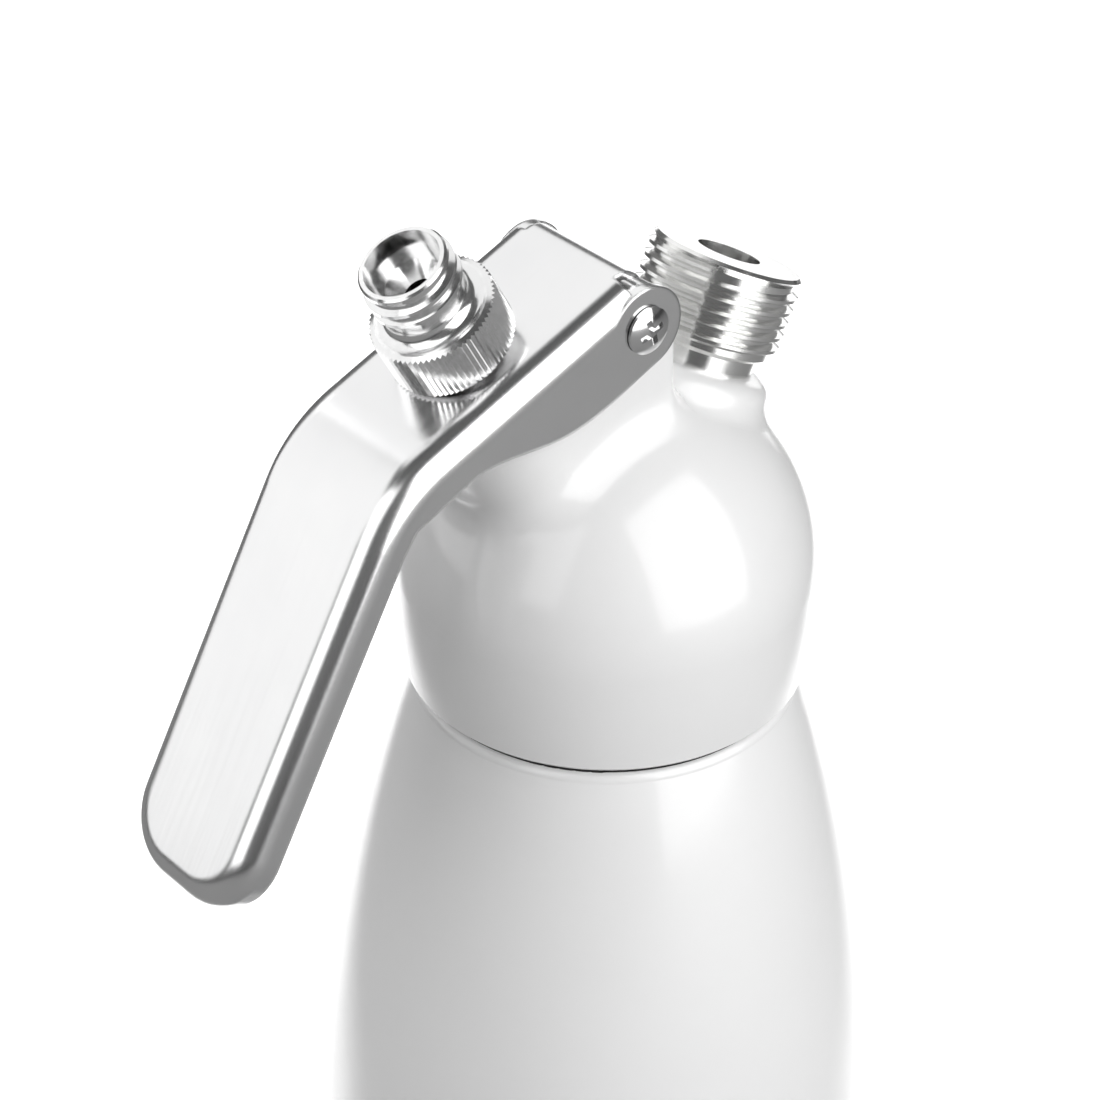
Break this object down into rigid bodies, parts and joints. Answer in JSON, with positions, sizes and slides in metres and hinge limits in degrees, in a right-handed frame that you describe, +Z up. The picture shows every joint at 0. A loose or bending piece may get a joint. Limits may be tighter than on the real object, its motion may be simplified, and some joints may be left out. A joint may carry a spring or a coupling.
{
  "type": "whipped cream dispenser",
  "caption": "Pressurised cream whipper: ogive bottle, domed screw-on head, squeeze lever, slanted threaded nozzle adapter and slanted threaded charger port.",
  "frame": {"origin": "centre of the bottle's flat base, on the surface it stands on", "axes": "+Z up along the bottle's axis; +X towards the charger port, -X towards the nozzle and the lever's handle; XZ is the mirror plane"},
  "size_m": [0.1291, 0.095, 0.2821],
  "materials": {
    "white_bottle": "glossy white powder coat",
    "white_head": "glossy white powder coat",
    "polished_steel": "polished stainless sheet",
    "chrome": "bright chrome plate",
    "turned_metal": "bright turned",
    "screw_metal": "bright plated",
    "steel": "turned stainless",
    "spring_steel": "drawn spring wire",
    "silicone": "soft red silicone",
    "black_seal": "moulded rubber",
    "brass": "turned brass",
    "bush_plastic": "moulded acetal"
  },
  "bodies": {
    "bottle": {"bottle": "white_bottle"},
    "gasket": {"head_gasket": "silicone"},
    "head": {"head": "white_head", "charger_port": "turned_metal", "port_gasket": "black_seal", "piercing_pin": "steel", "pin_gasket": "black_seal", "check_spring": "spring_steel", "check_retainer": "brass", "guide_bush": "bush_plastic", "stem_o_ring": "black_seal", "pivot_sleeve": "steel", "pivot_screw_near": "screw_metal", "pivot_screw_far": "screw_metal", "return_spring": "spring_steel"},
    "lever": {"lever": "polished_steel"},
    "valve": {"valve_stem": "steel", "valve_collar": "steel", "nozzle_adapter": "chrome", "adapter_seal": "black_seal", "valve_seal": "black_seal", "seal_retainer": "brass"},
    "ball": {"check_ball": "steel"}
  },
  "joints": [
    {"name": "head_lift", "type": "slide", "parent": "bottle", "child": "gasket", "axis": [0, 0, 1], "range_m": [0, 0.0182]},
    {"name": "head_unscrew", "type": "hinge", "parent": "gasket", "child": "head", "pos_m": [0, 0, 0.215], "axis": [0, 0, 1], "range_deg": [0, 2160]},
    {"name": "lever_pivot", "type": "hinge", "parent": "head", "child": "lever", "pos_m": [-0.005, 0, 0.2623], "axis": [0, -1, 0], "range_deg": [0, 8], "stiffness_Nm_per_rad": 2, "springref_deg": -17.19},
    {"name": "valve_slide", "type": "slide", "parent": "head", "child": "valve", "axis": [0.4894, 0, -0.8721], "range_m": [0, 0.00297], "deforming": ["return_spring"]},
    {"name": "check_ball_slide", "type": "slide", "parent": "head", "child": "ball", "axis": [-0.4368, 0, -0.8996], "range_m": [0, 0.0006], "stiffness_N_per_m": 60, "springref_m": -0.001, "deforming": ["check_spring"]}
  ],
  "couplings": [
    {"joint": "head_lift", "follows": "head_unscrew", "m_per_rad": 0.00047746},
    {"joint": "valve_slide", "follows": "lever_pivot", "m_per_rad": 0.02058}
  ]
}
